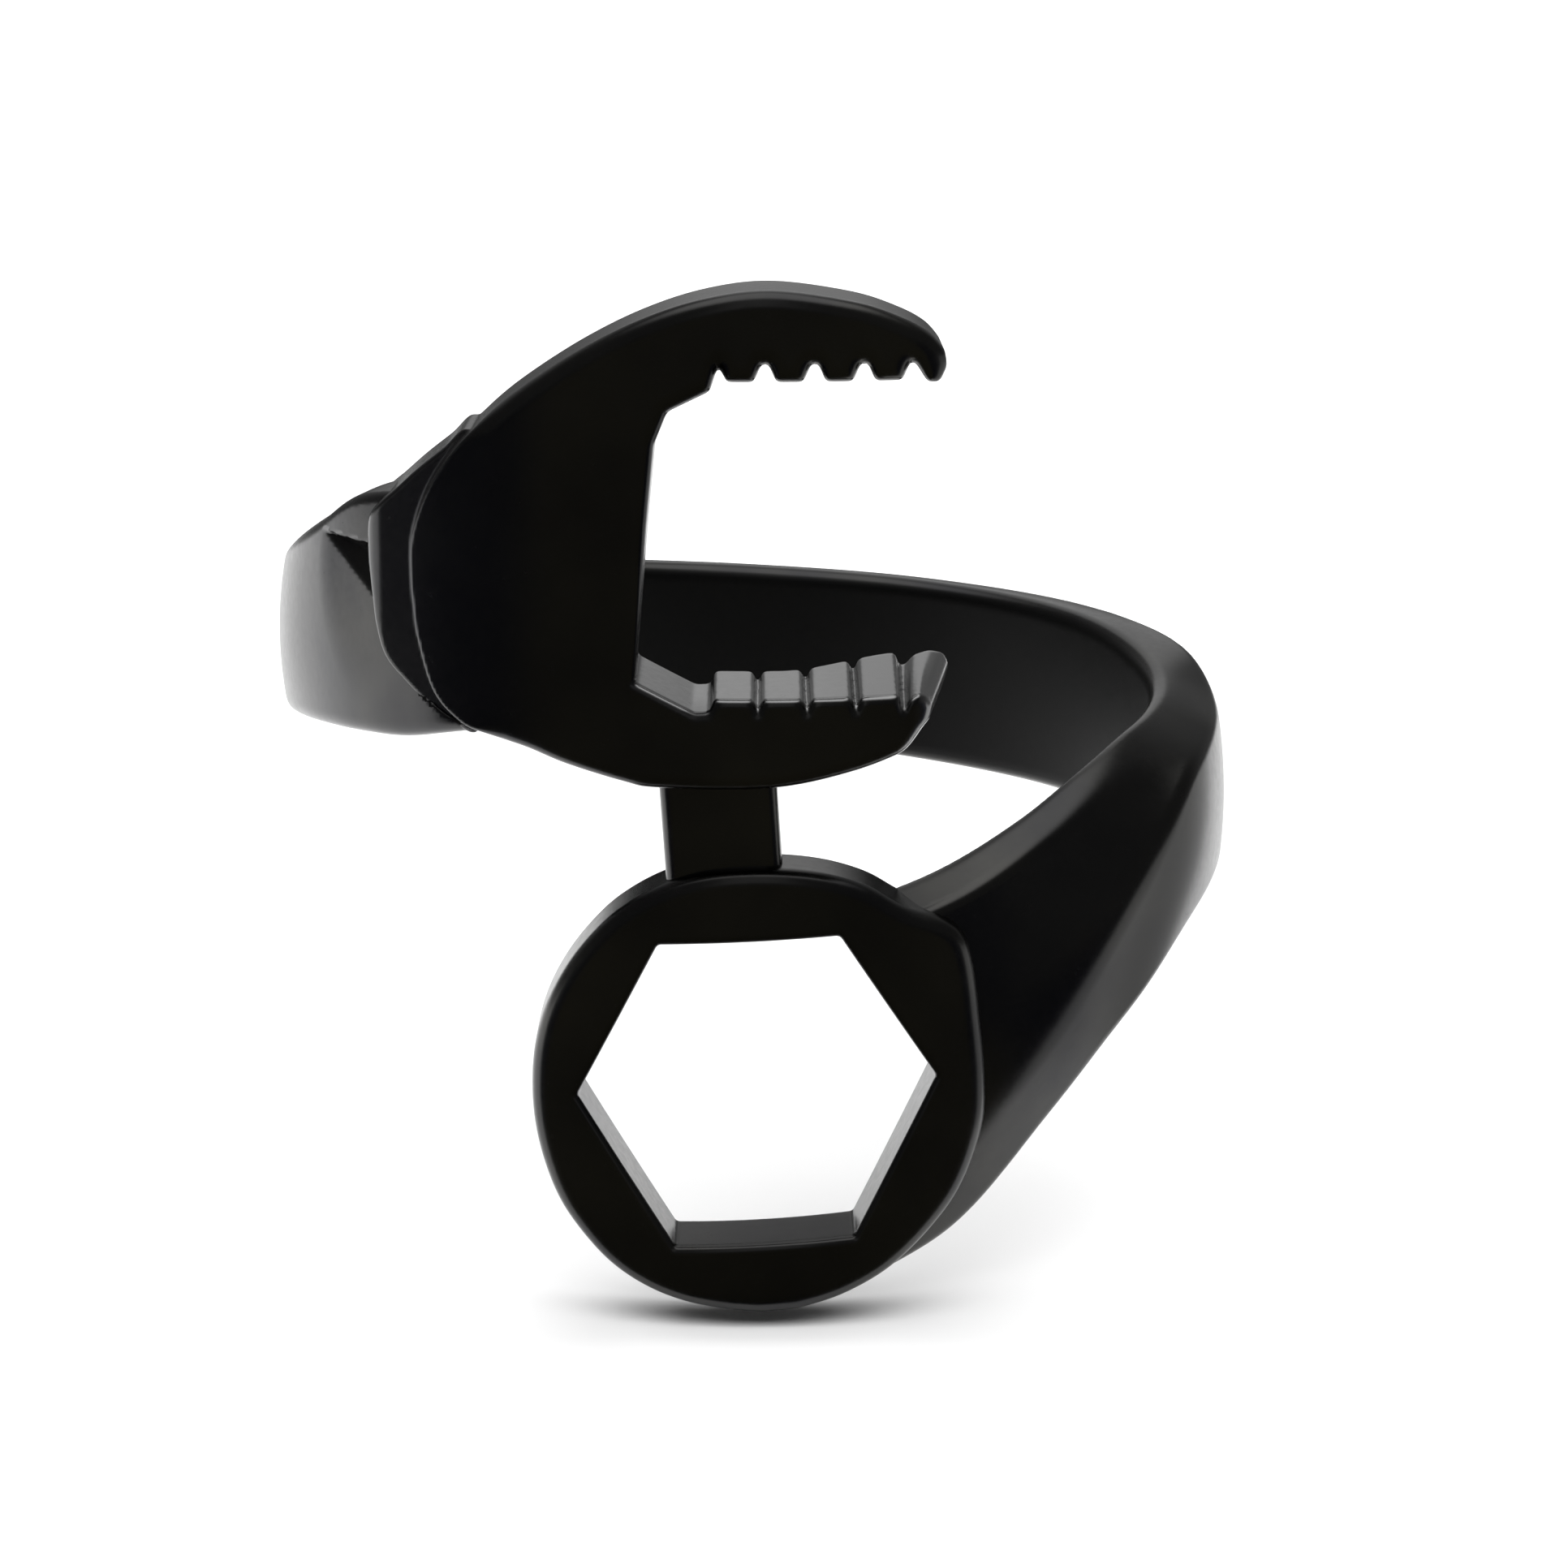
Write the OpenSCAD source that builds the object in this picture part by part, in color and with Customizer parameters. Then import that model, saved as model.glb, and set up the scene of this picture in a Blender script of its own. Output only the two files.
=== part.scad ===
// Finger ring shaped like a small double-ended wrench wrapped once round the finger.
// The toothed open jaw hooks a crown cap; the round box end has a hexagonal hole.
// Frame: origin at the centre of the finger bore, +Z along the finger towards the jaw,
// both heads face -Y. Millimetres.

/* [Finger bore] */
// inside diameter of the ring
bore_d = 20; // [18:0.5:22]

/* [Open jaw head] */
// radial thickness of the jaw head
jaw_t = 3.0; // [2.6:0.1:3.4]
// radial thickness of the ledge beside the jaw's face
ledge_t = 2.5; // [2.2:0.1:2.6]
// distance between two teeth
tooth_pitch = 1.08; // [1.04:0.01:1.12]
// how far an upper tooth stands out of the jaw
upper_tooth_h = 0.4; // [0.2:0.05:0.5]
// how far a lower tooth stands out of the jaw
lower_tooth_h = 0.3; // [0.2:0.05:0.5]
// width of an upper tooth at its root
upper_tooth_root = 0.94; // [0.7:0.02:0.98]
// width of an upper tooth at its tip
upper_tooth_tip = 0.6; // [0.3:0.05:0.6]
// width of a lower tooth at its root
lower_tooth_root = 0.98; // [0.9:0.02:1]
// width of a lower tooth at its tip
lower_tooth_tip = 0.82; // [0.5:0.02:0.86]

/* [Box end head] */
// radial thickness of the box end
hex_t = 2.0; // [1.9:0.1:2.4]
// size of the box end's outline
hex_head_scale = 1; // [0.97:0.01:1.04]
// hexagonal hole, across flats
hex_flats = 7.1; // [6.4:0.1:7.6]
// turn of the hexagonal hole
hex_turn = 3; // [0:1:6]

/* [Bridge bar] */
// width of the bar between the two heads
bridge_w = 2.6; // [2:0.1:3]
// radial thickness of the bar
bridge_t = 1.6; // [1.2:0.1:2]

/* [Hidden] */
$fn = 96;

bore_r = bore_d / 2;
black = [0.05, 0.05, 0.055];

// how far forward the front-view outlines reach, and the ends of the finger bore
head_depth = bore_r + 6;
bore_low = -13;
bore_high = 17;
bore_past = 1;  // the bore runs on this far past the walls at each end

// box end: centre of its outline and of its hole, [x, z]
hex_centre = [0.18, -4.68];
hex_hole_pos = [0.12, -4.6];
hex_sides = 6;
hex_outline = [
    [0.17, -9.88], [-0.72, -9.8], [-1.61, -9.64], [-2.46, -9.33], [-3.23, -8.86], [-3.87, -8.23],
    [-4.42, -7.48], [-4.78, -6.63], [-5.0, -5.73], [-5.07, -4.8], [-5.0, -3.85], [-4.77, -2.93],
    [-4.35, -2.03], [-3.78, -1.2], [-3.08, -0.46], [-2.14, 0.16], [-1.1, 0.54], [0.2, 0.66],
    [1.5, 0.54], [2.6, 0.18], [3.5, -0.38], [4.4, -0.75], [4.85, -1.15], [5.1, -1.9],
    [5.28, -3.2], [5.42, -4.6], [5.36, -5.8], [4.9, -7.1], [4.2, -8.05], [3.2, -8.95],
    [2.1, -9.52], [1.06, -9.82]
];

// bridge bar: centre, lean, and the length before the heads trim it
bridge_pos = [-0.7, 1.6];
bridge_lean = 4;
bridge_reach = 5;

// open jaw outline, [x, z]: each tooth row starts at the throat, between the two prongs
upper_row = [-0.25, 12.12];
lower_row = [-0.4, 4.52];
teeth = 4;
upper_prong = [
    [-7.66, 6.9], [-7.64, 7.9], [-7.3, 8.95], [-6.75, 9.85], [-6.1, 10.58], [-5.2, 11.38],
    [-3.8, 12.34], [-2.4, 13.07], [-1.0, 13.54], [0.45, 13.71], [2.2, 13.46], [3.25, 13.1],
    [3.87, 12.75], [4.22, 12.35], [4.28, 12.0], [4.12, 11.66], [3.84, 11.66], [3.55, 12.12]
];
throat = [
    [-0.9, 11.52], [-1.83, 11.06], [-2.12, 10.35], [-2.3, 8.5], [-2.58, 5.15], [-1.25, 4.5],
    [-1.0, 4.52]
];
lower_prong = [
    [3.5, 4.52], [3.72, 4.8], [4.0, 4.92], [4.25, 4.84], [4.3, 4.6], [4.2, 4.25], [3.85, 3.75],
    [3.35, 3.42], [2.2, 3.02], [0.4, 2.71], [-2.1, 2.69], [-2.8, 2.79], [-4.15, 3.13],
    [-5.0, 3.42], [-5.85, 3.64], [-6.6, 3.95], [-7.2, 4.65], [-7.56, 5.9]
];
// ledge at the jaw's left, one step below its face
ledge = [
    [-8.76, 7.2], [-8.74, 8.15], [-8.45, 8.58], [-8.08, 8.92], [-7.51, 9.46], [-6.89, 9.98],
    [-6.28, 10.48], [-5.9, 9.5], [-6.0, 6.0], [-6.1, 3.75], [-6.75, 3.76], [-7.25, 4.02],
    [-7.88, 4.55], [-8.38, 5.1], [-8.62, 5.9]
];

// band sections, one per row: angle from the front round the left side, bottom z, top z,
// then [wall, z] of the upper corner, the ridge, the belly, and the wall at the bottom
sections = [
    [ 27,  3.75, 10.2,  [0.4, 10.25],  [2.3,  9.9],  [2.75, 6.9],  2.5],
    [ 33,  3.5,   9.75, [0.4,  9.8],   [2.3,  9.4],  [2.7,  6.6],  2.45],
    [ 41,  3.15,  9.17, [0.5,  9.22],  [2.2,  8.85], [2.45, 6.1],  2.25],
    [ 50,  2.95,  8.72, [0.8,  8.82],  [1.95, 8.45], [2.2,  5.6],  2.0],
    [ 60,  2.75,  7.97, [1.1,  8.0],   [1.75, 7.6],  [2.0,  5.1],  1.75],
    [ 75,  2.4,   7.0,  [1.1,  7.0],   [1.6,  6.65], [1.88, 4.5],  1.6],
    [ 90,  1.95,  6.25, [1.1,  6.25],  [1.6,  6.0],  [1.88, 4.0],  1.6],
    [120,  0.85,  5.1,  [1.0,  5.1],   [1.65, 4.9],  [1.9,  2.9],  1.7],
    [150, -0.25,  4.35, [1.0,  4.35],  [1.65, 4.15], [1.9,  2.0],  1.7],
    [180, -0.95,  3.93, [1.0,  3.93],  [1.65, 3.73], [1.9,  1.5],  1.7],
    [206, -1.32,  3.72, [1.0,  3.72],  [1.65, 3.52], [1.9,  1.3],  1.7],
    [240, -1.52,  3.42, [1.0,  3.42],  [1.65, 3.22], [1.9,  1.1],  1.75],
    [270, -1.6,   3.0,  [0.4,  2.86],  [1.6,  2.8],  [1.95, 1.0],  1.8],
    [285, -1.85,  2.8,  [0.5,  2.57],  [1.68, 2.15], [2.0,  0.3],  1.8],
    [298, -2.65,  2.52, [0.7,  2.16],  [1.85, 1.2],  [2.1, -0.4],  1.7],
    [310, -4.2,   1.95, [0.85, 1.5],   [2.1, -1.0],  [2.0, -2.0],  1.6],
    [322, -6.05,  1.08, [1.05, 0.6],   [2.05, -3.5], [1.85, -4.4], 1.5],
    [335, -8.35,  0.15, [1.4, -0.35],  [1.95, -6.1], [1.75, -6.9], 1.45],
    [345, -9.4,  -0.4,  [1.6, -0.9],   [1.9, -8.0],  [1.7, -8.5],  1.5]
];
section_corners = 6;
band_steps = 3;
bore_overlap = 0.4;

function mix(a, b, t) = a + (b - a) * t;
function corner(p) = [p[0] + bore_r, p[1]];

// corners of one section, [radius, z]
function section_points(s) = [
    [bore_r - bore_overlap, s[1]], [bore_r - bore_overlap, s[2]],
    corner(s[3]), corner(s[4]), corner(s[5]), [bore_r + s[6], s[1]]
];
function wrap(angle, p) = [-p[0] * sin(angle), -p[0] * cos(angle), p[1]];

// smooth curve through four neighbouring values
function curve(a, b, c, d, t) = 0.5 * (2 * b + (c - a) * t
    + (2 * a - 5 * b + 4 * c - d) * pow(t, 2) + (3 * b - a - 3 * c + d) * pow(t, 3));
last = len(sections) - 1;
function row(i) = sections[max(0, min(last, i))];
function row_angle(i, t) = mix(row(i)[0], row(i + 1)[0], t);
function row_points(i, t) = [
    for (k = [0:section_corners - 1])
        curve(section_points(row(i - 1))[k], section_points(row(i))[k],
              section_points(row(i + 1))[k], section_points(row(i + 2))[k], t)
];
rings = [
    for (i = [0:last - 1], j = [0:band_steps - 1]) [row_angle(i, j / band_steps),
                                                   row_points(i, j / band_steps)],
    [row(last)[0], section_points(row(last))]
];

// tooth corners of one row, in order of the steps list; sign -1 hangs down, +1 stands up
function tooth_corners(start, steps, sign, root, tip, height) = [
    for (i = steps, c = [[-root, 0], [-tip, height], [tip, height], [root, 0]])
        [start[0] + i * tooth_pitch + sign * c[0] / 2, start[1] + sign * c[1]]
];
jaw_outline = concat(
    upper_prong,
    tooth_corners(upper_row, [teeth - 1:-1:0], -1, upper_tooth_root, upper_tooth_tip,
                  upper_tooth_h),
    throat,
    tooth_corners(lower_row, [0:teeth - 1], 1, lower_tooth_root, lower_tooth_tip,
                  lower_tooth_h),
    lower_prong
);

// extrude a front-view outline towards -Y
module towards_front() {
    rotate([90, 0, 0]) linear_extrude(head_depth) children();
}

module finger_bore() {
    translate([0, 0, bore_low]) cylinder(r = bore_r, h = bore_high - bore_low);
}

// wall between the bore and the bore plus a thickness
module bore_shell(t) {
    difference() {
        translate([0, 0, bore_low + bore_past])
            cylinder(r = bore_r + t, h = bore_high - bore_low - 2 * bore_past);
        finger_bore();
    }
}

module hex_head_outline() {
    translate(hex_centre) scale(hex_head_scale) translate(-hex_centre) polygon(hex_outline);
}

module open_jaw_head() {
    color(black) union() {
        intersection() {
            bore_shell(jaw_t);
            towards_front() polygon(jaw_outline);
        }
        intersection() {
            bore_shell(ledge_t);
            towards_front() polygon(ledge);
        }
    }
}

module hex_head() {
    color(black) difference() {
        intersection() {
            bore_shell(hex_t);
            towards_front() hex_head_outline();
        }
        towards_front() translate(hex_hole_pos) rotate(hex_turn)
            circle(r = hex_flats / 2 / cos(180 / hex_sides), $fn = hex_sides);
    }
}

// everything the two heads take up in the front view
module head_cuts() {
    towards_front() polygon(concat(upper_prong, lower_prong));
    towards_front() polygon(ledge);
    towards_front() hex_head_outline();
}

module bridge_bar() {
    color(black) difference() {
        intersection() {
            bore_shell(bridge_t);
            towards_front() translate(bridge_pos) rotate(bridge_lean)
                square([bridge_w, bridge_reach], center = true);
        }
        head_cuts();
    }
}

module band() {
    n = len(rings);
    k_end = section_corners - 1;
    color(black) difference() {
        polyhedron(
            points = [for (r = rings, p = r[1]) wrap(r[0], p)],
            faces = concat(
                [[for (k = [k_end:-1:0]) k]],
                [for (i = [0:n - 2], k = [0:k_end])
                    [i * section_corners + k, i * section_corners + (k + 1) % section_corners,
                     (i + 1) * section_corners + (k + 1) % section_corners,
                     (i + 1) * section_corners + k]],
                [[for (k = [0:k_end]) (n - 1) * section_corners + k]]
            )
        );
        finger_bore();
        head_cuts();
    }
}

band();
open_jaw_head();
hex_head();
bridge_bar();
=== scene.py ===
"""Wrench-shaped bottle opener ring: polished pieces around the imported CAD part, and its studio."""
import math

import bpy
import numpy as np
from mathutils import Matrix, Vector


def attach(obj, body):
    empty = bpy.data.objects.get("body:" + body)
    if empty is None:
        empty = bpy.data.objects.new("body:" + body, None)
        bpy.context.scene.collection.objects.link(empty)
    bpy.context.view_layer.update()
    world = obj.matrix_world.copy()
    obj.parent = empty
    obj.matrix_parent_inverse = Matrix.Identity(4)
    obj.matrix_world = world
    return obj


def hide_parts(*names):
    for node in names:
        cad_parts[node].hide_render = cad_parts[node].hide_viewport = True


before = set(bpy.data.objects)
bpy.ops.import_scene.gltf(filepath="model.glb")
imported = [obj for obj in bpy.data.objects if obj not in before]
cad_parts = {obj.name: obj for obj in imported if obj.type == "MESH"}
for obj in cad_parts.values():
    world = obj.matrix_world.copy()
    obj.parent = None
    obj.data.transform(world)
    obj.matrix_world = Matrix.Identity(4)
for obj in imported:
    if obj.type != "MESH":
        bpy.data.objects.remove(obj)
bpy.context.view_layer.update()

MM = 0.001
BORE_R = 10.0
ARC_R = 11.0  # radius at which grid arc lengths are counted

# ---------------------------------------------------------------- shape, millimetres
# front-view outlines are [x, z]; band sections are angle from the front round the left side,
# bottom z, top z, then (wall, z) of the upper corner, ridge and belly, and the bottom wall
JAW_R = 13.0
HEX_R = 12.0
BRIDGE_R = 11.6
HEX_FLATS = 7.14
HEX_TURN = math.radians(3)
HEX_HOLE_POS = np.array([0.12, -4.6])
BRIDGE_POS = np.array([-0.7, 1.6])
BRIDGE_LEAN = math.radians(4)
BRIDGE_HALF = np.array([1.33, 2.5])

# teeth: widths at root and tip, height, and where the first tooth of each row stands
TEETH = 4
TOOTH_PITCH = 1.08
TOOTH_H = 0.4
TOOTH_ROOT = 0.94
LOWER_TOOTH_H = 0.3
LOWER_TOOTH_ROOT = 1.05
UPPER_TIP_W = 0.6
LOWER_TIP_W = 0.86
UPPER_ROW = (-0.25, 12.12)
LOWER_ROW = (-0.4, 4.52)
UPPER_BACK = [(-7.66, 6.9), (-7.64, 7.9), (-7.3, 8.95), (-6.75, 9.85), (-6.1, 10.58), (-5.2, 11.38),
              (-3.8, 12.34), (-2.4, 13.07), (-1.0, 13.54), (0.45, 13.71), (2.2, 13.46),
              (3.25, 13.1), (3.87, 12.75), (4.22, 12.35)]
UPPER_TIP = [(4.28, 12.0), (4.12, 11.66), (3.84, 11.66), (3.55, 12.12)]
THROAT = [(-0.9, 11.52), (-1.83, 11.06), (-2.12, 10.35), (-2.3, 8.5), (-2.58, 5.15),
          (-1.25, 4.5), (-1.0, 4.52)]
LOWER_TIP = [(3.5, 4.52), (3.72, 4.74), (4.1, 4.82), (4.42, 4.74), (4.57, 4.5)]
LOWER_BACK = [(4.5, 4.15), (4.0, 3.75), (3.4, 3.42), (2.2, 3.02), (0.4, 2.71), (-2.1, 2.69),
              (-2.8, 2.79), (-4.15, 3.13), (-5.0, 3.42), (-5.85, 3.64), (-6.6, 3.95),
              (-7.2, 4.65), (-7.56, 5.9)]
# ledge at the jaw's left, one step below its face, and the round end outline
LEDGE_OUTLINE = [(-8.76, 7.2), (-8.74, 8.15), (-8.45, 8.58), (-8.08, 8.92), (-7.51, 9.46),
                 (-6.89, 9.98), (-6.28, 10.48), (-5.9, 9.5), (-6.0, 6.0), (-6.1, 3.75),
                 (-6.75, 3.76), (-7.25, 4.02), (-7.88, 4.55), (-8.38, 5.1), (-8.62, 5.9)]
HEX_OUTLINE = [(0.17, -9.88), (-0.72, -9.8), (-1.61, -9.64), (-2.46, -9.33), (-3.23, -8.86),
               (-3.87, -8.23), (-4.42, -7.48), (-4.78, -6.63), (-5.0, -5.73), (-5.07, -4.8),
               (-5.0, -3.85), (-4.77, -2.93), (-4.35, -2.03), (-3.78, -1.2), (-3.08, -0.46),
               (-2.14, 0.16), (-1.1, 0.54), (0.2, 0.66), (1.5, 0.54), (2.6, 0.18), (3.5, -0.38),
               (4.4, -0.75), (4.85, -1.15), (5.1, -1.9), (5.28, -3.2), (5.42, -4.6), (5.36, -5.8),
               (4.9, -7.1), (4.2, -8.05), (3.2, -8.95), (2.1, -9.52), (1.06, -9.82)]
SECTIONS = [
    (27, 3.75, 10.2, 0.4, 10.25, 2.3, 9.9, 2.9, 6.9, 2.6),
    (33, 3.5, 9.75, 0.4, 9.8, 2.3, 9.45, 2.85, 6.6, 2.6),
    (41, 3.15, 9.17, 0.5, 9.22, 2.2, 8.85, 2.6, 6.1, 2.35),
    (50, 2.95, 8.72, 0.8, 8.82, 2.0, 8.48, 2.35, 5.6, 2.1),
    (60, 2.75, 7.97, 1.1, 8.0, 1.8, 7.6, 2.15, 5.1, 1.85),
    (75, 2.4, 7.0, 1.1, 7.0, 1.62, 6.65, 2.04, 4.5, 1.65),
    (90, 1.95, 6.25, 1.1, 6.25, 1.6, 6.0, 2.03, 4.0, 1.65),
    (120, 0.85, 5.1, 1.0, 5.1, 1.65, 4.9, 2.03, 2.9, 1.7),
    (150, -0.25, 4.35, 1.0, 4.35, 1.65, 4.15, 2.03, 2.0, 1.72),
    (180, -0.95, 3.93, 1.0, 3.93, 1.65, 3.73, 2.03, 1.5, 1.72),
    (206, -1.32, 3.72, 1.0, 3.72, 1.65, 3.52, 2.03, 1.3, 1.72),
    (240, -1.52, 3.42, 1.0, 3.42, 1.7, 3.25, 2.05, 1.1, 1.8),
    (270, -1.6, 3.0, 0.4, 2.86, 1.63, 2.88, 2.1, 1.0, 1.85),
    (285, -1.85, 2.8, 0.5, 2.57, 1.7, 2.18, 2.15, 0.3, 1.85),
    (298, -2.65, 2.52, 0.7, 2.16, 1.87, 1.2, 2.2, -0.4, 1.77),
    (310, -4.23, 1.95, 0.85, 1.5, 2.1, -1.0, 2.05, -2.0, 1.68),
    (322, -6.1, 1.08, 1.05, 0.6, 2.05, -3.5, 1.93, -4.4, 1.55),
    (335, -8.4, 0.15, 1.4, -0.35, 1.95, -6.1, 1.78, -6.9, 1.5),
    (345, -9.4, -0.4, 1.6, -0.9, 1.9, -8.0, 1.7, -8.5, 1.5),
]

# flat cuts: azimuth from the front (positive to the right) and elevation of the outward
# direction in degrees, then the distance of the plane from the origin
LEDGE_FACE = (-36, 0, 12.55)
LEDGE_BEVEL = (-61, 0, 12.0)
LEAF_CUT = (-54, 4.8, 12.44)
NOTCH_CUT = (-38, 32, 13.5)
NOTCH_TOP = 7.5
UPPER_TIP_CUT = (38, 0, 12.16)

# roundings
EDGE_FRONT = 0.2
EDGE_TEETH = 0.1
EDGE_BORE = 0.2
EDGE_HEX = 0.1
EDGE_STEP = 0.03  # jaw face where it steps down to the ledge
EDGE_UPPER_TIP = 0.08  # flat at the end of the upper prong's face
EDGE_LEDGE = 0.05  # ledge at its flat cuts and where it meets the jaw
EDGE_POCKET = 0.03  # notch and leaf cut into the band
BAND_ROUNDING = (None, 0.12, 0.1, 0.4, 0.2)  # upper corner, ridge, belly, bottom
BAND_EDGE_BORE = 0.25
HEX_CORNER = 0.04  # corners of the hexagonal hole
CORNER_BLUR = 0.06  # softening of the front-view outlines
SEAM = 0.04  # where the band and bar meet the heads
OVERLAP = 0.14  # how far the band and bar run on under the heads

# field values that leave a shape uncut, for cuts that apply to one side only
NO_CUT = -1
NO_TRIM = -1e3

# the lower prong leans with depth: its teeth sideways and up towards the finger, its tip outwards
TOOTH_LEAN = 0.05
LEAN_DEPTH = 2  # depth above the bore at which the lean is nil
TOOTH_RISE = 0.12
TIP_LEAN = 0.2
# spans over which these and the rounding of the jaw fade in
LOWER_TEETH_Z = (3.9, 4.5)
MOUTH_MIDDLE_Z = (6.0, 9.0)
RISE_X = (0.6, 3.4)
TIP_X = (3.2, 4.0)
STEP_X = (5.5, 6.5)


# ---------------------------------------------------------------- fields, negative inside
def smooth_max(a, b, r):
    """Larger of two fields, with a rounding of radius r where they cross."""
    h = np.clip(0.5 + 0.5 * (a - b) / (2 * r), 0, 1)
    return b + (a - b) * h + 2 * r * h * (1 - h)


def smooth_min(a, b, r):
    return -smooth_max(-a, -b, r)


def spline(points, steps=6):
    """Catmull-Rom curve through a list of points."""
    p = np.array([points[0], *points, points[-1]], float)
    out = []
    for i in range(1, len(p) - 2):
        a, b, c, d = p[i - 1:i + 3]
        for t in np.linspace(0, 1, steps, endpoint=False):
            out.append(0.5 * (2 * b + (c - a) * t + (2 * a - 5 * b + 4 * c - d) * t ** 2
                              + (3 * b - a - 3 * c + d) * t ** 3))
    return out + [p[-2]]


def cut(direction, x, y, z):
    """Signed distance to a flat cut, positive outside."""
    azimuth, elevation, reach = math.radians(direction[0]), math.radians(direction[1]), direction[2]
    flat = math.cos(elevation)
    return (x * math.sin(azimuth) * flat - y * math.cos(azimuth) * flat
            + z * math.sin(elevation) - reach)


def tooth_row(start, order, sign, tip, root, height):
    """Corners of one row of teeth, in the order in which the outline runs."""
    corners = [(-root, 0), (-tip, height), (tip, height), (root, 0)]
    return [(start[0] + i * TOOTH_PITCH + sign * cx / 2, start[1] + sign * cz)
            for i in order for cx, cz in corners]


def polygon_field(points, x, z):
    """Signed distance to a closed polygon."""
    p = np.array(points, float)
    best = np.full(x.shape, 1e9)
    inside = np.zeros(x.shape, bool)
    for (ax, az), (bx, bz) in zip(p, np.roll(p, -1, 0)):
        ex, ez = bx - ax, bz - az
        t = np.clip(((x - ax) * ex + (z - az) * ez) / (ex * ex + ez * ez + 1e-12), 0, 1)
        best = np.minimum(best, (x - ax - t * ex) ** 2 + (z - az - t * ez) ** 2)
        if ez != 0:
            crosses = ((az <= z) & (z < bz)) | ((bz <= z) & (z < az))
            inside ^= crosses & (x < ax + (z - az) * ex / ez)
    return np.where(inside, -1, 1) * np.sqrt(best)


class Plan:
    """A front-view outline kept as a softened distance table and read by interpolation."""

    def __init__(self, points, blur, step=0.03, margin=2.5):
        p = np.array(points, float)
        self.low = p.min(0) - margin
        self.step = step
        nx, nz = np.ceil((p.max(0) + margin - self.low) / step).astype(int) + 1
        gx = self.low[0] + step * np.arange(nx)
        gz = self.low[1] + step * np.arange(nz)
        x, z = np.meshgrid(gx, gz, indexing="ij")
        self.table = polygon_field(points, x, z)
        reach = int(3 * blur / step) + 1
        kernel = np.exp(-0.5 * (np.arange(-reach, reach + 1) * step / blur) ** 2)
        kernel /= kernel.sum()
        for axis in (0, 1):
            padded = np.pad(self.table, [(reach, reach) if a == axis else (0, 0) for a in (0, 1)],
                            mode="edge")
            size = self.table.shape[axis]
            total = np.zeros_like(self.table)
            for k, w in enumerate(kernel):
                window = [slice(None), slice(None)]
                window[axis] = slice(k, k + size)
                total += w * padded[tuple(window)]
            self.table = total

    def __call__(self, x, z):
        fx = np.clip((x - self.low[0]) / self.step, 0, self.table.shape[0] - 1.001)
        fz = np.clip((z - self.low[1]) / self.step, 0, self.table.shape[1] - 1.001)
        ix, iz = fx.astype(int), fz.astype(int)
        tx, tz = fx - ix, fz - iz
        t = self.table
        return ((t[ix, iz] * (1 - tx) + t[ix + 1, iz] * tx) * (1 - tz)
                + (t[ix, iz + 1] * (1 - tx) + t[ix + 1, iz + 1] * tx) * tz)


jaw_points = (spline(UPPER_BACK) + UPPER_TIP
              + tooth_row(UPPER_ROW, range(TEETH - 1, -1, -1), -1, UPPER_TIP_W, TOOTH_ROOT, TOOTH_H)
              + THROAT
              + tooth_row(LOWER_ROW, range(TEETH), 1, LOWER_TIP_W, LOWER_TOOTH_ROOT, LOWER_TOOTH_H)
              + LOWER_TIP + spline(LOWER_BACK))
jaw_plan = Plan(jaw_points, CORNER_BLUR)
jaw_blank = Plan(spline(UPPER_BACK) + LOWER_TIP[3:] + spline(LOWER_BACK), CORNER_BLUR)
ledge_plan = Plan(spline(LEDGE_OUTLINE), CORNER_BLUR)
hex_plan = Plan(spline(HEX_OUTLINE), CORNER_BLUR)


def hexagon_plan(x, z):
    """Hexagonal hole, turned, with slightly rounded corners."""
    dx, dz = x - HEX_HOLE_POS[0], z - HEX_HOLE_POS[1]
    field = np.full(x.shape, -1e9)
    for k in range(6):
        a = HEX_TURN + math.pi / 2 + k * math.pi / 3
        field = smooth_max(field, dx * math.cos(a) + dz * math.sin(a) - HEX_FLATS / 2, HEX_CORNER)
    return field


def jaw_footprint(x, z):
    """Everything the jaw head covers in the front view, its mouth included."""
    return np.minimum(jaw_blank(x, z), ledge_plan(x, z))


def head_cuts(x, z):
    """Trims what meets the heads, leaving it to run on a little under them."""
    return np.maximum(-jaw_footprint(x, z), -hex_plan(x, z)) - OVERLAP


def polar(x, y):
    """Distance from the finger axis, and the angle from the front round the left side."""
    return np.hypot(x, y), np.mod(np.arctan2(-x, -y), 2 * math.pi)


def shell(plan, rho, outer_r, front=EDGE_FRONT, back=EDGE_BORE):
    """A front-view outline between the bore and outer_r, rounded at both rims."""
    return smooth_max(smooth_max(plan, rho - outer_r, front), BORE_R - rho, back)


def ramp_up(value, low, high):
    """Smooth step from 0 to 1."""
    t = np.clip((value - low) / (high - low), 0, 1)
    return t * t * (3 - 2 * t)


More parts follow.
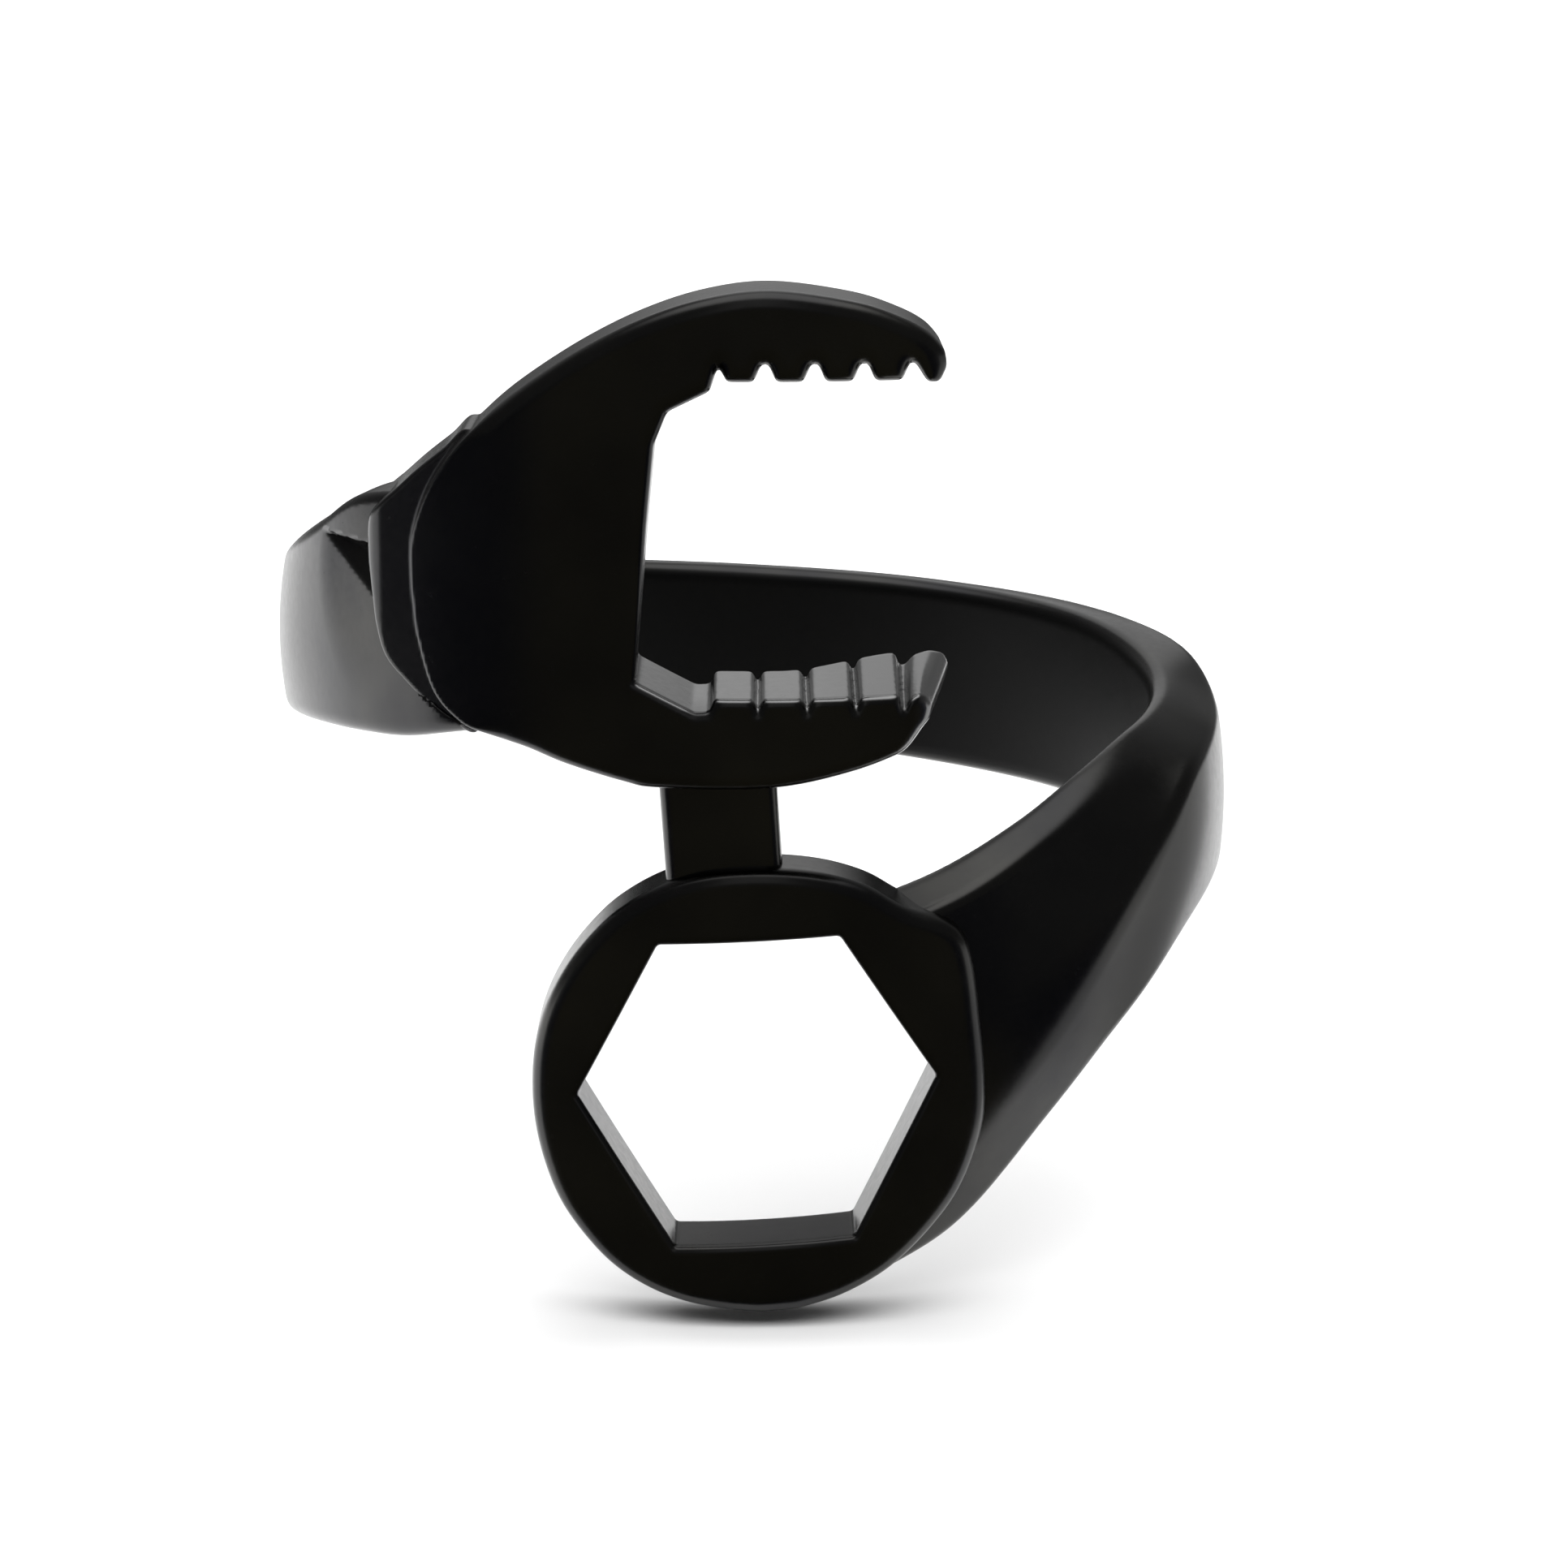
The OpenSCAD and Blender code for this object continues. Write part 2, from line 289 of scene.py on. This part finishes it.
def jaw_field(x, y, z):
    """The open jaw and its ledge; the lower prong is drawn with its lean."""
    rho, _ = polar(x, y)
    depth = rho - BORE_R
    lower_half = 1 - ramp_up(z, *MOUTH_MIDDLE_Z)
    lower_teeth = ramp_up(z, *LOWER_TEETH_Z) * lower_half
    px = x + TIP_LEAN * depth * ramp_up(x, *TIP_X) * lower_half
    pz = z + TOOTH_LEAN * (depth - LEAN_DEPTH) * lower_teeth
    inwards = np.clip(JAW_R - rho, 0, JAW_R - BORE_R)
    pz = pz - TOOTH_RISE * inwards * ramp_up(x, *RISE_X) * lower_half
    edge = EDGE_FRONT + (EDGE_TEETH - EDGE_FRONT) * lower_teeth
    edge = edge + (EDGE_STEP - edge) * ramp_up(-x, *STEP_X)
    face = shell(jaw_plan(px, pz), rho, JAW_R, edge)
    tip = np.where(y < 0, cut(UPPER_TIP_CUT, x, y, z), NO_CUT)
    face = smooth_max(face, tip, EDGE_UPPER_TIP)
    ledge = shell(ledge_plan(x, z), rho, JAW_R)
    ledge = smooth_max(ledge, cut(LEDGE_FACE, x, y, z), EDGE_LEDGE)
    ledge = smooth_max(ledge, cut(LEDGE_BEVEL, x, y, z), EDGE_LEDGE)
    return smooth_min(face, ledge, EDGE_LEDGE)


def hex_field(x, y, z):
    """The round end with its hexagonal hole."""
    rho, _ = polar(x, y)
    return smooth_max(shell(hex_plan(x, z), rho, HEX_R), -hexagon_plan(x, z), EDGE_HEX)


def bridge_field(x, y, z):
    """The leaning bar between the heads."""
    rho, _ = polar(x, y)
    c, s = math.cos(BRIDGE_LEAN), math.sin(BRIDGE_LEAN)
    dx, dz = x - BRIDGE_POS[0], z - BRIDGE_POS[1]
    u, v = dx * c + dz * s, dz * c - dx * s
    bar = np.maximum(np.abs(u) - BRIDGE_HALF[0], np.abs(v) - BRIDGE_HALF[1])
    return smooth_max(shell(bar, rho, BRIDGE_R), head_cuts(x, z), SEAM)


def smooth_table(angles):
    """The band's section values at given angles, along curves through the section rows."""
    rows = np.array(SECTIONS, float)
    key = np.radians(rows[:, 0])
    slope = np.gradient(rows[:, 1:], key, axis=0)
    i = np.clip(np.searchsorted(key, angles) - 1, 0, len(key) - 2)
    width = key[i + 1] - key[i]
    t = np.clip((angles - key[i]) / width, 0, 1)[..., None]
    w = width[..., None]
    a, b, da, db = rows[i, 1:], rows[i + 1, 1:], slope[i], slope[i + 1]
    return ((2 * t ** 3 - 3 * t ** 2 + 1) * a + (t ** 3 - 2 * t ** 2 + t) * w * da
            + (-2 * t ** 3 + 3 * t ** 2) * b + (t ** 3 - t ** 2) * w * db)


TABLE_ANGLES = np.radians(np.arange(SECTIONS[0][0], SECTIONS[-1][0] + 0.01, 0.25))
BAND_TABLE = smooth_table(TABLE_ANGLES)


def band_values(angle):
    """The nine section values of the band at an angle."""
    return [np.interp(angle, TABLE_ANGLES, BAND_TABLE[:, k]) for k in range(BAND_TABLE.shape[1])]


def band_field(x, y, z):
    """The band: its section's five outer sides, the bore, the ends, two pockets and the heads."""
    rho, angle = polar(x, y)
    low, high, w1, z1, w2, z2, w3, z3, w4 = band_values(angle)
    wall = rho - BORE_R
    corners = [(0 * w1, high), (w1, z1), (w2, z2), (w3, z3), (w4, low), (0 * w1, low)]
    field = None
    for k in range(5):
        (aw, az), (bw, bz) = corners[k], corners[k + 1]
        dw, dz = bw - aw, bz - az
        size = np.sqrt(dw * dw + dz * dz) + 1e-9
        side = ((wall - aw) * -dz + (z - az) * dw) / size
        field = side if field is None else smooth_max(field, side, BAND_ROUNDING[k])
    field = smooth_max(field, -wall, BAND_EDGE_BORE)
    ends = np.maximum(TABLE_ANGLES[0] - angle, angle - TABLE_ANGLES[-1]) * ARC_R
    field = np.maximum(field, ends)
    for plane in (LEAF_CUT, NOTCH_CUT):
        pocket = np.where(x < 0, np.minimum(cut(plane, x, y, z), NOTCH_TOP - z), NO_CUT)
        field = smooth_max(field, pocket, EDGE_POCKET)
    return smooth_max(field, np.where(y < 0, head_cuts(x, z), NO_TRIM), SEAM)


# ---------------------------------------------------------------- meshing
GRADIENT_STEP = 0.02
SURFACE_STEPS = 3  # times that each vertex is moved on to the surface
LEAST_SLOPE = 0.25  # floor under the squared gradient in that move


def surface_nets(g):
    """Vertices (grid units) and quads on the zero level of a sampled field."""
    inside = g < 0
    cells = tuple(n - 1 for n in g.shape)
    total = np.zeros(cells + (3,), np.float32)
    count = np.zeros(cells, np.int8)

    def part(a, offset):
        return a[tuple(slice(o, o + n) for o, n in zip(offset, cells))]

    for axis in range(3):
        others = [a for a in range(3) if a != axis]
        for p in (0, 1):
            for q in (0, 1):
                start = [0, 0, 0]
                start[others[0]], start[others[1]] = p, q
                end = list(start)
                end[axis] = 1
                crossing = part(inside, start) != part(inside, end)
                v0, v1 = part(g, start)[crossing], part(g, end)[crossing]
                spot = np.zeros((len(v0), 3), np.float32)
                spot[:, others[0]], spot[:, others[1]] = p, q
                spot[:, axis] = v0 / (v0 - v1)
                total[crossing] += spot
                count[crossing] += 1
    active = count > 0
    number = np.full(cells, -1, np.int64)
    number[active] = np.arange(active.sum())
    where = np.argwhere(active)
    verts = where + total[active] / count[active][:, None]
    quads = []
    for axis in range(3):
        b, c = [(axis + 1) % 3, (axis + 2) % 3]
        lo = [slice(1, -1)] * 3
        hi = [slice(1, -1)] * 3
        lo[axis], hi[axis] = slice(0, -1), slice(1, None)
        s0, s1 = inside[tuple(lo)], inside[tuple(hi)]
        for flip, mask in ((False, s0 & ~s1), (True, ~s0 & s1)):
            at = np.argwhere(mask)
            at[:, b] += 1
            at[:, c] += 1
            corner = []
            for ob, oc in ((1, 1), (0, 1), (0, 0), (1, 0)):
                cell = at.copy()
                cell[:, b] -= ob
                cell[:, c] -= oc
                corner.append(number[cell[:, 0], cell[:, 1], cell[:, 2]])
            quad = np.stack(corner, 1)
            quads.append(quad[:, ::-1] if flip else quad)
    return verts, np.concatenate(quads)


def gradient(field, p):
    """Central differences of a field at points."""
    g = np.empty_like(p)
    for k in range(3):
        d = np.zeros(3)
        d[k] = GRADIENT_STEP
        a, b = p + d, p - d
        g[:, k] = field(a[:, 0], a[:, 1], a[:, 2]) - field(b[:, 0], b[:, 1], b[:, 2])
        g[:, k] /= 2 * GRADIENT_STEP
    return g


def build(name, field, angles, heights, walls, step):
    """A closed smooth mesh of a field, sampled on a grid wrapped round the bore."""
    u = np.arange(math.radians(angles[0]), math.radians(angles[1]), step / ARC_R)
    v = np.arange(heights[0], heights[1], step)
    w = np.arange(BORE_R + walls[0], BORE_R + walls[1], step)
    rho = w[None, None, :]
    x = -rho * np.sin(u)[:, None, None] + 0 * v[None, :, None]
    y = -rho * np.cos(u)[:, None, None] + 0 * v[None, :, None]
    z = np.broadcast_to(v[None, :, None], x.shape)
    grid = field(x, y, z).astype(np.float32)
    verts, quads = surface_nets(grid)
    a = u[0] + verts[:, 0] * step / ARC_R
    r = w[0] + verts[:, 2] * step
    p = np.stack([-r * np.sin(a), -r * np.cos(a), v[0] + verts[:, 1] * step], 1).astype(float)
    for _ in range(SURFACE_STEPS):
        g = gradient(field, p)
        size = np.maximum((g * g).sum(1), LEAST_SLOPE)
        move = -field(p[:, 0], p[:, 1], p[:, 2])[:, None] * g / size[:, None]
        p += np.clip(move, -0.5 * step, 0.5 * step)
    g = gradient(field, p)
    normals = g / np.maximum(np.linalg.norm(g, axis=1), 1e-6)[:, None]
    tri = p[quads]
    faces_out = np.einsum("ij,ij->i", np.cross(tri[:, 2] - tri[:, 0], tri[:, 3] - tri[:, 1]),
                          normals[quads[:, 0]]).sum() > 0
    if not faces_out:
        quads = quads[:, ::-1]
    mesh = bpy.data.meshes.new(name)
    mesh.from_pydata((p * MM).tolist(), [], quads.tolist())
    mesh.polygons.foreach_set("use_smooth", [True] * len(mesh.polygons))
    mesh.normals_split_custom_set_from_vertices(normals.tolist())
    ob = bpy.data.objects.new(name, mesh)
    bpy.context.scene.collection.objects.link(ob)
    print("piece", name, len(p), "vertices", len(quads), "quads", flush=True)
    return ob


# ---------------------------------------------------------------- materials
WAVE_SCALE = 260
GRAIN_SCALE = 5200
PLATING = ((0.35, (0.05, 0.05, 0.052, 1)), (0.7, (0.075, 0.074, 0.07, 1)))  # along the waves
GLOSS = (0.2, 0.3)  # roughness, along the grain
# the bore is coloured darker than the outside as well as made rougher
BORE_DARKER_COLOR = (0.02, 0.02, 0.02, 1)
SATIN_ROUGHNESS = (0.5, 0.5, 0.5, 1)
SATIN_END = (0.02, 0.12)  # depth above the bore over which satin turns to polish
# painted highlight colour on the crests of the lower teeth
CREST_HIGHLIGHT_COLOR = (0.3, 0.3, 0.3, 1)
MATT = 0.9  # roughness of the floor and the cards
# spans over which the painted highlight on the crests fades in, or out where they end in 1, 0: how
# far the surface faces up and outwards, then places in millimetres
CREST_UPWARDS = (0.35, 0.7)
CREST_OUTWARDS = (0.3, 0.7)
CREST_TEETH_Z = (4.4, 4.55)
CREST_TIP_X = (3.0, 3.5)
CREST_TOP_Z = (5.4, 5.8, 1, 0)
CREST_BACK_Y = (-8.4, -8.0, 1, 0)
CREST_BOTTOM_Z = (2.9, 3.1)


def ramp(tree, value, low, high, out_low=0.0, out_high=1.0):
    """Smooth step from one value to another, as a node."""
    node = tree.nodes.new("ShaderNodeMapRange")
    node.interpolation_type = "SMOOTHSTEP"
    for key, number in (("From Min", low), ("From Max", high), ("To Min", out_low),
                        ("To Max", out_high)):
        node.inputs[key].default_value = number
    tree.links.new(value, node.inputs["Value"])
    return node.outputs["Result"]


def blend(tree, operation, a, b=None):
    node = tree.nodes.new("ShaderNodeMath")
    node.operation = operation
    tree.links.new(a, node.inputs[0])
    if b is not None:
        tree.links.new(b, node.inputs[1])
    return node.outputs[0]


def painted_crest_highlight(tree, place, normal):
    """Mask of the painted highlight: 1 on the lower prong's teeth, throat and tip, where they face
    up or outwards.
    """
    def along(source, axis, span, unit=1.0):
        return ramp(tree, source.outputs[axis], *(value * unit for value in span[:2]), *span[2:])

    upwards = blend(tree, "MULTIPLY", along(normal, "Z", CREST_UPWARDS),
                    along(place, "Z", CREST_TEETH_Z, MM))
    outwards = blend(tree, "MULTIPLY", along(normal, "X", CREST_OUTWARDS),
                     along(place, "X", CREST_TIP_X, MM))
    nearby = blend(tree, "MULTIPLY", along(place, "Z", CREST_TOP_Z, MM),
                   along(place, "Y", CREST_BACK_Y, MM))
    nearby = blend(tree, "MULTIPLY", nearby, along(place, "Z", CREST_BOTTOM_Z, MM))
    return blend(tree, "MULTIPLY", nearby, blend(tree, "MAXIMUM", upwards, outwards))


def node_material(name):
    """A new material with its node tree and its shader."""
    mat = bpy.data.materials.new(name)
    mat.use_nodes = True
    tree = mat.node_tree
    return mat, tree, tree.nodes["Principled BSDF"]


def noise(tree, coords, scale, detail):
    """Noise that is fixed to the part."""
    node = tree.nodes.new("ShaderNodeTexNoise")
    node.inputs["Scale"].default_value = scale
    node.inputs["Detail"].default_value = detail
    tree.links.new(coords.outputs["Object"], node.inputs["Vector"])
    return node


def bump(tree, height, strength, distance):
    """Unevenness of the surface that follows a noise."""
    node = tree.nodes.new("ShaderNodeBump")
    node.inputs["Strength"].default_value = strength
    node.inputs["Distance"].default_value = distance
    tree.links.new(height.outputs["Fac"], node.inputs["Height"])
    return node


def black_steel():
    """Black plating over polished cast steel: faint waviness, fine grain and uneven gloss."""
    mat, tree, bsdf = node_material("black_steel")
    new, link = tree.nodes.new, tree.links.new
    coords = new("ShaderNodeTexCoord")
    waves = noise(tree, coords, WAVE_SCALE, 3)
    grain = noise(tree, coords, GRAIN_SCALE, 4)
    tint = new("ShaderNodeValToRGB")
    for stop, (position, color) in zip(tint.color_ramp.elements, PLATING):
        stop.position = position
        stop.color = color
    link(waves.outputs["Fac"], tint.inputs["Fac"])
    # painted highlight: the lower teeth's crests are coloured paler where they face up or outwards
    split = new("ShaderNodeSeparateXYZ")
    link(coords.outputs["Object"], split.inputs[0])
    facing = new("ShaderNodeSeparateXYZ")
    link(coords.outputs["Normal"], facing.inputs[0])
    crest_highlight = new("ShaderNodeMix")
    crest_highlight.data_type = "RGBA"
    link(painted_crest_highlight(tree, split, facing), crest_highlight.inputs["Factor"])
    link(tint.outputs["Color"], crest_highlight.inputs["A"])
    crest_highlight.inputs["B"].default_value = CREST_HIGHLIGHT_COLOR
    gloss = new("ShaderNodeMapRange")
    gloss.inputs["To Min"].default_value = GLOSS[0]
    gloss.inputs["To Max"].default_value = GLOSS[1]
    link(grain.outputs["Fac"], gloss.inputs["Value"])
    # inside the finger bore the colour is darker and the plating satin, not polished
    flat = new("ShaderNodeCombineXYZ")
    link(split.outputs["X"], flat.inputs["X"])
    link(split.outputs["Y"], flat.inputs["Y"])
    reach = new("ShaderNodeVectorMath")
    reach.operation = "LENGTH"
    link(flat.outputs[0], reach.inputs[0])
    polished = new("ShaderNodeMapRange")
    polished.inputs["From Min"].default_value = (BORE_R + SATIN_END[0]) * MM
    polished.inputs["From Max"].default_value = (BORE_R + SATIN_END[1]) * MM
    link(reach.outputs["Value"], polished.inputs["Value"])
    for channel, bore_value, source in (("Base Color", BORE_DARKER_COLOR, crest_highlight.outputs["Result"]),
                                   ("Roughness", SATIN_ROUGHNESS, gloss.outputs["Result"])):
        mix = new("ShaderNodeMix")
        mix.data_type = "RGBA"
        link(polished.outputs["Result"], mix.inputs["Factor"])
        mix.inputs["A"].default_value = bore_value
        link(source, mix.inputs["B"])
        link(mix.outputs["Result"], bsdf.inputs[channel])
    small = bump(tree, grain, 0.05, 0.00002)
    large = bump(tree, waves, 0.25, 0.00005)
    link(small.outputs["Normal"], large.inputs["Normal"])
    link(large.outputs["Normal"], bsdf.inputs["Normal"])
    bsdf.inputs["Metallic"].default_value = 1.0
    return mat


def plain_material(name, color):
    """A matt material of one colour."""
    mat, _, bsdf = node_material(name)
    bsdf.inputs["Base Color"].default_value = (*color, 1)
    bsdf.inputs["Roughness"].default_value = MATT
    return mat


# ---------------------------------------------------------------- pieces
COARSE = 1.0
steel = black_steel()
PIECES = (
    # name, field, angles, heights, walls, grid step
    ("band", band_field, (25, 347), (-10.0, 10.6), (-0.3, 3.2), 0.1),
    ("open_jaw_head", jaw_field, (-28, 60), (2.3, 14.1), (-0.2, 3.3), 0.066),
    ("hex_head", hex_field, (-36, 36), (-10.3, 0.9), (-0.2, 2.3), 0.056),
    ("bridge_bar", bridge_field, (-10, 18), (-1.2, 4.2), (-0.2, 1.9), 0.05),
)
for name, field, angles, heights, walls, step in PIECES:
    piece = build("polished_" + name, field, angles, heights, walls, step * COARSE)
    piece.data.materials.append(steel)
    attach(piece, "root")
    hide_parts(name)


# ---------------------------------------------------------------- studio
def panel(name, centre, size, facing, strength):
    """A soft white light panel that looks at a point."""
    data = bpy.data.lights.new(name, "AREA")
    data.shape = "RECTANGLE"
    data.size, data.size_y = size
    data.energy = strength
    ob = bpy.data.objects.new(name, data)
    ob.location = Vector(centre)
    ob.rotation_euler = (Vector(facing) - Vector(centre)).to_track_quat("-Z", "Y").to_euler()
    bpy.context.scene.collection.objects.link(ob)
    return ob


def sheet(name, corners, z, material):
    """A flat stage sheet from its corners, [x, y]."""
    mesh = bpy.data.meshes.new(name)
    mesh.from_pydata([(x, y, z) for x, y in corners], [], [tuple(range(len(corners)))])
    mesh.materials.append(material)
    ob = bpy.data.objects.new(name, mesh)
    bpy.context.scene.collection.objects.link(ob)
    return ob


FLOOR_Z = -0.0102
FAR = 4.0
sheet("floor", [(-FAR, -FAR), (FAR, -FAR), (FAR, FAR), (-FAR, FAR)], FLOOR_Z,
      plain_material("pale_floor", (0.88, 0.88, 0.88)))

# cards lie on the floor round the part, seen only in reflections: dark in front, grey at the
# right, dark along the horizon behind
FRONT_EDGE = -0.0123
MIDDLE_HALF = 0.0145
RIGHT_EDGE = 0.014
RIGHT_FAR = 0.6 * FAR
HORIZON_EDGE = 0.25
card_outline = [(-FAR, -FAR), (FAR, -FAR), (FAR, FRONT_EDGE), (-FAR, FRONT_EDGE)]
middle_outline = [(-FAR, -FAR), (FAR, -FAR), (MIDDLE_HALF, FRONT_EDGE), (-MIDDLE_HALF, FRONT_EDGE)]
right_outline = [(RIGHT_EDGE, FRONT_EDGE), (FAR, FRONT_EDGE), (FAR, FAR), (RIGHT_FAR, FAR)]
horizon_outline = [(-FAR, HORIZON_EDGE), (FAR, HORIZON_EDGE), (FAR, FAR), (-FAR, FAR)]
CARDS = (("side_card", card_outline, 0.0002, (0.008, 0.009, 0.016)),
         ("middle_card", middle_outline, 0.0004, (0.036, 0.033, 0.022)),
         ("right_card", right_outline, 0.0002, (0.4, 0.4, 0.4)),
         ("horizon_card", horizon_outline, 0.0004, (0.1, 0.1, 0.1)))
for name, outline, lift, color in CARDS:
    card = sheet(name, outline, FLOOR_Z + lift, plain_material(name, color))
    card.visible_camera = False
    card.visible_diffuse = False
    card.visible_shadow = False

# sky: dark at the front and along the horizon, with a haze and a pale upright window at the back
# and the brightest part overhead. X runs across, Y from front to back and Z up; each span holds
# the two ends of a ramp and then, unless they are 0 and 1, the values there
BEHIND_Y = (0.25, 0.75, 0.45, 1.0)
HAZE_Z = (0.03, 0.12, 0.12, 0.17)
WINDOW_X = (0.12, 0.3, 0.6, 0.0)
WINDOW_Z = (0.07, 0.16)
ZENITH_Z = (0.72, 0.95, 0.0, 1.3)
world = bpy.data.worlds.new("studio")
world.use_nodes = True
bpy.context.scene.world = world
sky = world.node_tree
direction = sky.nodes.new("ShaderNodeTexCoord")
axes = sky.nodes.new("ShaderNodeSeparateXYZ")
sky.links.new(direction.outputs["Generated"], axes.inputs[0])
across = blend(sky, "ABSOLUTE", axes.outputs["X"])
behind = ramp(sky, axes.outputs["Y"], *BEHIND_Y)
haze = blend(sky, "MULTIPLY", behind, ramp(sky, axes.outputs["Z"], *HAZE_Z))
window = blend(sky, "MULTIPLY", ramp(sky, across, *WINDOW_X),
               blend(sky, "MULTIPLY", behind, ramp(sky, axes.outputs["Z"], *WINDOW_Z)))
zenith = ramp(sky, axes.outputs["Z"], *ZENITH_Z)
sky.links.new(blend(sky, "MAXIMUM", blend(sky, "MAXIMUM", haze, window), zenith),
              sky.nodes["Background"].inputs["Strength"])
sky.nodes["Background"].inputs["Color"].default_value = (1, 1, 1, 1)

overhead = panel("overhead_softbox", (0, 0.3, 2.0), (5.0, 5.0), (0, 0.3, 0), 150)
overhead.visible_glossy = False

# ---------------------------------------------------------------- camera
CAMERA_D = 0.1
CAMERA_EL = math.radians(12.5)
WIDTHS_PER_SLOPE = 2.505  # image widths per unit of slope
SENSOR = 36
SHIFT = 0.0207
camera_data = bpy.data.cameras.new("camera")
camera = bpy.data.objects.new("camera", camera_data)
bpy.context.scene.collection.objects.link(camera)
camera.location = (0, -CAMERA_D * math.cos(CAMERA_EL), CAMERA_D * math.sin(CAMERA_EL))
camera.rotation_euler = (math.pi / 2 - CAMERA_EL, 0, 0)
camera_data.sensor_width = SENSOR
camera_data.lens = SENSOR * WIDTHS_PER_SLOPE
camera_data.shift_x = SHIFT
camera_data.clip_start = 0.005
bpy.context.scene.camera = camera
bpy.context.scene.view_settings.view_transform = "Standard"
